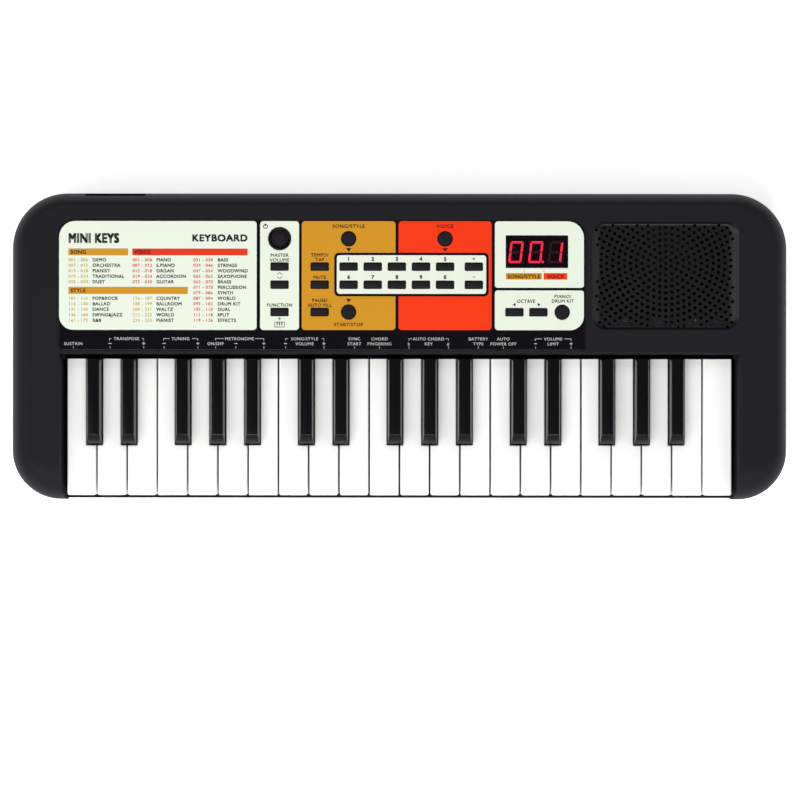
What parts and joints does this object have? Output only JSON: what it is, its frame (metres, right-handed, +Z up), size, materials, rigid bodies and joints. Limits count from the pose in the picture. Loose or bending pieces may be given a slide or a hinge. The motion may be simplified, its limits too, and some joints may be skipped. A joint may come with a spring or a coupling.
{
  "type": "toy electronic keyboard",
  "caption": "Small portable electronic keyboard with mini keys that tip, push buttons, a numeric display, a speaker and a battery bay.",
  "frame": {"origin": "centre of the footprint, on the surface that the four feet stand on", "axes": "+X to the player's right along the row of keys, +Y away from the player, +Z up"},
  "size_m": [0.506, 0.2001, 0.054],
  "materials": {
    "case_plastic": "fine satin, near black",
    "printed_panel": "printed sheet: black with white, yellow and orange fields",
    "white_key_plastic": "glossy white",
    "black_key_plastic": "glossy black",
    "button_rubber": "matt silicone",
    "display_lens": "smoked window over a red LED display",
    "circuit_board": "green solder resist",
    "frame_plastic": "moulded, unpainted",
    "speaker_driver": "black basket and cone"
  },
  "bodies": {
    "case": {"top_case": "case_plastic", "bottom_case": "case_plastic", "control_panel": "printed_panel", "display_window": "display_lens", "main_board": "circuit_board", "speaker": "speaker_driver", "key_frame": "frame_plastic", "key_contact_board": "circuit_board"},
    "battery_door": {"battery_door": "case_plastic"},
    "power_button": {"power_button": "button_rubber"},
    "volume_up_button": {"volume_up_button": "button_rubber"},
    "volume_down_button": {"volume_down_button": "button_rubber"},
    "function_button": {"function_button": "button_rubber"},
    "song_style_button": {"song_style_button": "button_rubber"},
    "voice_button": {"voice_button": "button_rubber"},
    "start_stop_button": {"start_stop_button": "button_rubber"},
    "tempo_button": {"tempo_button": "button_rubber"},
    "mute_button": {"mute_button": "button_rubber"},
    "pause_button": {"pause_button": "button_rubber"},
    "number_keypad": {"number_keypad": "button_rubber"},
    "octave_down_button": {"octave_down_button": "button_rubber"},
    "octave_up_button": {"octave_up_button": "button_rubber"},
    "piano_button": {"piano_button": "button_rubber"},
    "white_key_C1": {"white_key_C1": "white_key_plastic"},
    "black_key_C_sharp1": {"black_key_C_sharp1": "black_key_plastic"},
    "white_key_D1": {"white_key_D1": "white_key_plastic"},
    "black_key_D_sharp1": {"black_key_D_sharp1": "black_key_plastic"},
    "white_key_E1": {"white_key_E1": "white_key_plastic"},
    "white_key_F1": {"white_key_F1": "white_key_plastic"},
    "black_key_F_sharp1": {"black_key_F_sharp1": "black_key_plastic"},
    "white_key_G1": {"white_key_G1": "white_key_plastic"},
    "black_key_G_sharp1": {"black_key_G_sharp1": "black_key_plastic"},
    "white_key_A1": {"white_key_A1": "white_key_plastic"},
    "black_key_A_sharp1": {"black_key_A_sharp1": "black_key_plastic"},
    "white_key_B1": {"white_key_B1": "white_key_plastic"},
    "white_key_C2": {"white_key_C2": "white_key_plastic"},
    "black_key_C_sharp2": {"black_key_C_sharp2": "black_key_plastic"},
    "white_key_D2": {"white_key_D2": "white_key_plastic"},
    "black_key_D_sharp2": {"black_key_D_sharp2": "black_key_plastic"},
    "white_key_E2": {"white_key_E2": "white_key_plastic"},
    "white_key_F2": {"white_key_F2": "white_key_plastic"},
    "black_key_F_sharp2": {"black_key_F_sharp2": "black_key_plastic"},
    "white_key_G2": {"white_key_G2": "white_key_plastic"},
    "black_key_G_sharp2": {"black_key_G_sharp2": "black_key_plastic"},
    "white_key_A2": {"white_key_A2": "white_key_plastic"},
    "black_key_A_sharp2": {"black_key_A_sharp2": "black_key_plastic"},
    "white_key_B2": {"white_key_B2": "white_key_plastic"},
    "white_key_C3": {"white_key_C3": "white_key_plastic"},
    "black_key_C_sharp3": {"black_key_C_sharp3": "black_key_plastic"},
    "white_key_D3": {"white_key_D3": "white_key_plastic"},
    "black_key_D_sharp3": {"black_key_D_sharp3": "black_key_plastic"},
    "white_key_E3": {"white_key_E3": "white_key_plastic"},
    "white_key_F3": {"white_key_F3": "white_key_plastic"},
    "black_key_F_sharp3": {"black_key_F_sharp3": "black_key_plastic"},
    "white_key_G3": {"white_key_G3": "white_key_plastic"},
    "black_key_G_sharp3": {"black_key_G_sharp3": "black_key_plastic"},
    "white_key_A3": {"white_key_A3": "white_key_plastic"},
    "black_key_A_sharp3": {"black_key_A_sharp3": "black_key_plastic"},
    "white_key_B3": {"white_key_B3": "white_key_plastic"},
    "white_key_C4": {"white_key_C4": "white_key_plastic"}
  },
  "joints": [
    {"name": "battery_door_hinge", "type": "hinge", "parent": "case", "child": "battery_door", "pos_m": [-0.069, 0.08315, 0.00285], "axis": [1, 0, 0], "range_deg": [0, 80]},
    {"name": "power_button_press", "type": "slide", "parent": "case", "child": "power_button", "axis": [0, 0, -1], "range_m": [0, 0.0008], "stiffness_N_per_m": 800, "springref_m": -0.001},
    {"name": "volume_up_button_press", "type": "slide", "parent": "case", "child": "volume_up_button", "axis": [0, 0, -1], "range_m": [0, 0.0008], "stiffness_N_per_m": 800, "springref_m": -0.001},
    {"name": "volume_down_button_press", "type": "slide", "parent": "case", "child": "volume_down_button", "axis": [0, 0, -1], "range_m": [0, 0.0008], "stiffness_N_per_m": 800, "springref_m": -0.001},
    {"name": "function_button_press", "type": "slide", "parent": "case", "child": "function_button", "axis": [0, 0, -1], "range_m": [0, 0.0008], "stiffness_N_per_m": 800, "springref_m": -0.001},
    {"name": "song_style_button_press", "type": "slide", "parent": "case", "child": "song_style_button", "axis": [0, 0, -1], "range_m": [0, 0.0008], "stiffness_N_per_m": 800, "springref_m": -0.001},
    {"name": "voice_button_press", "type": "slide", "parent": "case", "child": "voice_button", "axis": [0, 0, -1], "range_m": [0, 0.0008], "stiffness_N_per_m": 800, "springref_m": -0.001},
    {"name": "start_stop_button_press", "type": "slide", "parent": "case", "child": "start_stop_button", "axis": [0, 0, -1], "range_m": [0, 0.0008], "stiffness_N_per_m": 800, "springref_m": -0.001},
    {"name": "tempo_button_press", "type": "slide", "parent": "case", "child": "tempo_button", "axis": [0, 0, -1], "range_m": [0, 0.0008], "stiffness_N_per_m": 800, "springref_m": -0.001},
    {"name": "mute_button_press", "type": "slide", "parent": "case", "child": "mute_button", "axis": [0, 0, -1], "range_m": [0, 0.0008], "stiffness_N_per_m": 800, "springref_m": -0.001},
    {"name": "pause_button_press", "type": "slide", "parent": "case", "child": "pause_button", "axis": [0, 0, -1], "range_m": [0, 0.0008], "stiffness_N_per_m": 800, "springref_m": -0.001},
    {"name": "number_keypad_press", "type": "slide", "parent": "case", "child": "number_keypad", "axis": [0, 0, -1], "range_m": [0, 0.0008], "stiffness_N_per_m": 800, "springref_m": -0.001},
    {"name": "octave_down_button_press", "type": "slide", "parent": "case", "child": "octave_down_button", "axis": [0, 0, -1], "range_m": [0, 0.0008], "stiffness_N_per_m": 800, "springref_m": -0.001},
    {"name": "octave_up_button_press", "type": "slide", "parent": "case", "child": "octave_up_button", "axis": [0, 0, -1], "range_m": [0, 0.0008], "stiffness_N_per_m": 800, "springref_m": -0.001},
    {"name": "piano_button_press", "type": "slide", "parent": "case", "child": "piano_button", "axis": [0, 0, -1], "range_m": [0, 0.0008], "stiffness_N_per_m": 800, "springref_m": -0.001},
    {"name": "white_key_C1_press", "type": "hinge", "parent": "case", "child": "white_key_C1", "pos_m": [-0.20664, 0.014, 0.034], "axis": [1, 0, 0], "range_deg": [0, 2.8], "stiffness_Nm_per_rad": 0.4, "springref_deg": -7.16},
    {"name": "black_key_C_sharp1_press", "type": "hinge", "parent": "case", "child": "black_key_C_sharp1", "pos_m": [-0.1982, 0.014, 0.034], "axis": [1, 0, 0], "range_deg": [0, 2.8], "stiffness_Nm_per_rad": 0.4, "springref_deg": -7.16},
    {"name": "white_key_D1_press", "type": "hinge", "parent": "case", "child": "white_key_D1", "pos_m": [-0.18696, 0.014, 0.034], "axis": [1, 0, 0], "range_deg": [0, 2.8], "stiffness_Nm_per_rad": 0.4, "springref_deg": -7.16},
    {"name": "black_key_D_sharp1_press", "type": "hinge", "parent": "case", "child": "black_key_D_sharp1", "pos_m": [-0.17572, 0.014, 0.034], "axis": [1, 0, 0], "range_deg": [0, 2.8], "stiffness_Nm_per_rad": 0.4, "springref_deg": -7.16},
    {"name": "white_key_E1_press", "type": "hinge", "parent": "case", "child": "white_key_E1", "pos_m": [-0.16728, 0.014, 0.034], "axis": [1, 0, 0], "range_deg": [0, 2.8], "stiffness_Nm_per_rad": 0.4, "springref_deg": -7.16},
    {"name": "white_key_F1_press", "type": "hinge", "parent": "case", "child": "white_key_F1", "pos_m": [-0.1476, 0.014, 0.034], "axis": [1, 0, 0], "range_deg": [0, 2.8], "stiffness_Nm_per_rad": 0.4, "springref_deg": -7.16},
    {"name": "black_key_F_sharp1_press", "type": "hinge", "parent": "case", "child": "black_key_F_sharp1", "pos_m": [-0.14071, 0.014, 0.034], "axis": [1, 0, 0], "range_deg": [0, 2.8], "stiffness_Nm_per_rad": 0.4, "springref_deg": -7.16},
    {"name": "white_key_G1_press", "type": "hinge", "parent": "case", "child": "white_key_G1", "pos_m": [-0.12792, 0.014, 0.034], "axis": [1, 0, 0], "range_deg": [0, 2.8], "stiffness_Nm_per_rad": 0.4, "springref_deg": -7.16},
    {"name": "black_key_G_sharp1_press", "type": "hinge", "parent": "case", "child": "black_key_G_sharp1", "pos_m": [-0.11808, 0.014, 0.034], "axis": [1, 0, 0], "range_deg": [0, 2.8], "stiffness_Nm_per_rad": 0.4, "springref_deg": -7.16},
    {"name": "white_key_A1_press", "type": "hinge", "parent": "case", "child": "white_key_A1", "pos_m": [-0.10824, 0.014, 0.034], "axis": [1, 0, 0], "range_deg": [0, 2.8], "stiffness_Nm_per_rad": 0.4, "springref_deg": -7.16},
    {"name": "black_key_A_sharp1_press", "type": "hinge", "parent": "case", "child": "black_key_A_sharp1", "pos_m": [-0.09545, 0.014, 0.034], "axis": [1, 0, 0], "range_deg": [0, 2.8], "stiffness_Nm_per_rad": 0.4, "springref_deg": -7.16},
    {"name": "white_key_B1_press", "type": "hinge", "parent": "case", "child": "white_key_B1", "pos_m": [-0.08856, 0.014, 0.034], "axis": [1, 0, 0], "range_deg": [0, 2.8], "stiffness_Nm_per_rad": 0.4, "springref_deg": -7.16},
    {"name": "white_key_C2_press", "type": "hinge", "parent": "case", "child": "white_key_C2", "pos_m": [-0.06888, 0.014, 0.034], "axis": [1, 0, 0], "range_deg": [0, 2.8], "stiffness_Nm_per_rad": 0.4, "springref_deg": -7.16},
    {"name": "black_key_C_sharp2_press", "type": "hinge", "parent": "case", "child": "black_key_C_sharp2", "pos_m": [-0.06044, 0.014, 0.034], "axis": [1, 0, 0], "range_deg": [0, 2.8], "stiffness_Nm_per_rad": 0.4, "springref_deg": -7.16},
    {"name": "white_key_D2_press", "type": "hinge", "parent": "case", "child": "white_key_D2", "pos_m": [-0.0492, 0.014, 0.034], "axis": [1, 0, 0], "range_deg": [0, 2.8], "stiffness_Nm_per_rad": 0.4, "springref_deg": -7.16},
    {"name": "black_key_D_sharp2_press", "type": "hinge", "parent": "case", "child": "black_key_D_sharp2", "pos_m": [-0.03796, 0.014, 0.034], "axis": [1, 0, 0], "range_deg": [0, 2.8], "stiffness_Nm_per_rad": 0.4, "springref_deg": -7.16},
    {"name": "white_key_E2_press", "type": "hinge", "parent": "case", "child": "white_key_E2", "pos_m": [-0.02952, 0.014, 0.034], "axis": [1, 0, 0], "range_deg": [0, 2.8], "stiffness_Nm_per_rad": 0.4, "springref_deg": -7.16},
    {"name": "white_key_F2_press", "type": "hinge", "parent": "case", "child": "white_key_F2", "pos_m": [-0.00984, 0.014, 0.034], "axis": [1, 0, 0], "range_deg": [0, 2.8], "stiffness_Nm_per_rad": 0.4, "springref_deg": -7.16},
    {"name": "black_key_F_sharp2_press", "type": "hinge", "parent": "case", "child": "black_key_F_sharp2", "pos_m": [-0.00295, 0.014, 0.034], "axis": [1, 0, 0], "range_deg": [0, 2.8], "stiffness_Nm_per_rad": 0.4, "springref_deg": -7.16},
    {"name": "white_key_G2_press", "type": "hinge", "parent": "case", "child": "white_key_G2", "pos_m": [0.00984, 0.014, 0.034], "axis": [1, 0, 0], "range_deg": [0, 2.8], "stiffness_Nm_per_rad": 0.4, "springref_deg": -7.16},
    {"name": "black_key_G_sharp2_press", "type": "hinge", "parent": "case", "child": "black_key_G_sharp2", "pos_m": [0.01968, 0.014, 0.034], "axis": [1, 0, 0], "range_deg": [0, 2.8], "stiffness_Nm_per_rad": 0.4, "springref_deg": -7.16},
    {"name": "white_key_A2_press", "type": "hinge", "parent": "case", "child": "white_key_A2", "pos_m": [0.02952, 0.014, 0.034], "axis": [1, 0, 0], "range_deg": [0, 2.8], "stiffness_Nm_per_rad": 0.4, "springref_deg": -7.16},
    {"name": "black_key_A_sharp2_press", "type": "hinge", "parent": "case", "child": "black_key_A_sharp2", "pos_m": [0.04231, 0.014, 0.034], "axis": [1, 0, 0], "range_deg": [0, 2.8], "stiffness_Nm_per_rad": 0.4, "springref_deg": -7.16},
    {"name": "white_key_B2_press", "type": "hinge", "parent": "case", "child": "white_key_B2", "pos_m": [0.0492, 0.014, 0.034], "axis": [1, 0, 0], "range_deg": [0, 2.8], "stiffness_Nm_per_rad": 0.4, "springref_deg": -7.16},
    {"name": "white_key_C3_press", "type": "hinge", "parent": "case", "child": "white_key_C3", "pos_m": [0.06888, 0.014, 0.034], "axis": [1, 0, 0], "range_deg": [0, 2.8], "stiffness_Nm_per_rad": 0.4, "springref_deg": -7.16},
    {"name": "black_key_C_sharp3_press", "type": "hinge", "parent": "case", "child": "black_key_C_sharp3", "pos_m": [0.07732, 0.014, 0.034], "axis": [1, 0, 0], "range_deg": [0, 2.8], "stiffness_Nm_per_rad": 0.4, "springref_deg": -7.16},
    {"name": "white_key_D3_press", "type": "hinge", "parent": "case", "child": "white_key_D3", "pos_m": [0.08856, 0.014, 0.034], "axis": [1, 0, 0], "range_deg": [0, 2.8], "stiffness_Nm_per_rad": 0.4, "springref_deg": -7.16},
    {"name": "black_key_D_sharp3_press", "type": "hinge", "parent": "case", "child": "black_key_D_sharp3", "pos_m": [0.0998, 0.014, 0.034], "axis": [1, 0, 0], "range_deg": [0, 2.8], "stiffness_Nm_per_rad": 0.4, "springref_deg": -7.16},
    {"name": "white_key_E3_press", "type": "hinge", "parent": "case", "child": "white_key_E3", "pos_m": [0.10824, 0.014, 0.034], "axis": [1, 0, 0], "range_deg": [0, 2.8], "stiffness_Nm_per_rad": 0.4, "springref_deg": -7.16},
    {"name": "white_key_F3_press", "type": "hinge", "parent": "case", "child": "white_key_F3", "pos_m": [0.12792, 0.014, 0.034], "axis": [1, 0, 0], "range_deg": [0, 2.8], "stiffness_Nm_per_rad": 0.4, "springref_deg": -7.16},
    {"name": "black_key_F_sharp3_press", "type": "hinge", "parent": "case", "child": "black_key_F_sharp3", "pos_m": [0.13481, 0.014, 0.034], "axis": [1, 0, 0], "range_deg": [0, 2.8], "stiffness_Nm_per_rad": 0.4, "springref_deg": -7.16},
    {"name": "white_key_G3_press", "type": "hinge", "parent": "case", "child": "white_key_G3", "pos_m": [0.1476, 0.014, 0.034], "axis": [1, 0, 0], "range_deg": [0, 2.8], "stiffness_Nm_per_rad": 0.4, "springref_deg": -7.16},
    {"name": "black_key_G_sharp3_press", "type": "hinge", "parent": "case", "child": "black_key_G_sharp3", "pos_m": [0.15744, 0.014, 0.034], "axis": [1, 0, 0], "range_deg": [0, 2.8], "stiffness_Nm_per_rad": 0.4, "springref_deg": -7.16},
    {"name": "white_key_A3_press", "type": "hinge", "parent": "case", "child": "white_key_A3", "pos_m": [0.16728, 0.014, 0.034], "axis": [1, 0, 0], "range_deg": [0, 2.8], "stiffness_Nm_per_rad": 0.4, "springref_deg": -7.16},
    {"name": "black_key_A_sharp3_press", "type": "hinge", "parent": "case", "child": "black_key_A_sharp3", "pos_m": [0.18007, 0.014, 0.034], "axis": [1, 0, 0], "range_deg": [0, 2.8], "stiffness_Nm_per_rad": 0.4, "springref_deg": -7.16},
    {"name": "white_key_B3_press", "type": "hinge", "parent": "case", "child": "white_key_B3", "pos_m": [0.18696, 0.014, 0.034], "axis": [1, 0, 0], "range_deg": [0, 2.8], "stiffness_Nm_per_rad": 0.4, "springref_deg": -7.16},
    {"name": "white_key_C4_press", "type": "hinge", "parent": "case", "child": "white_key_C4", "pos_m": [0.20664, 0.014, 0.034], "axis": [1, 0, 0], "range_deg": [0, 2.8], "stiffness_Nm_per_rad": 0.4, "springref_deg": -7.16}
  ]
}
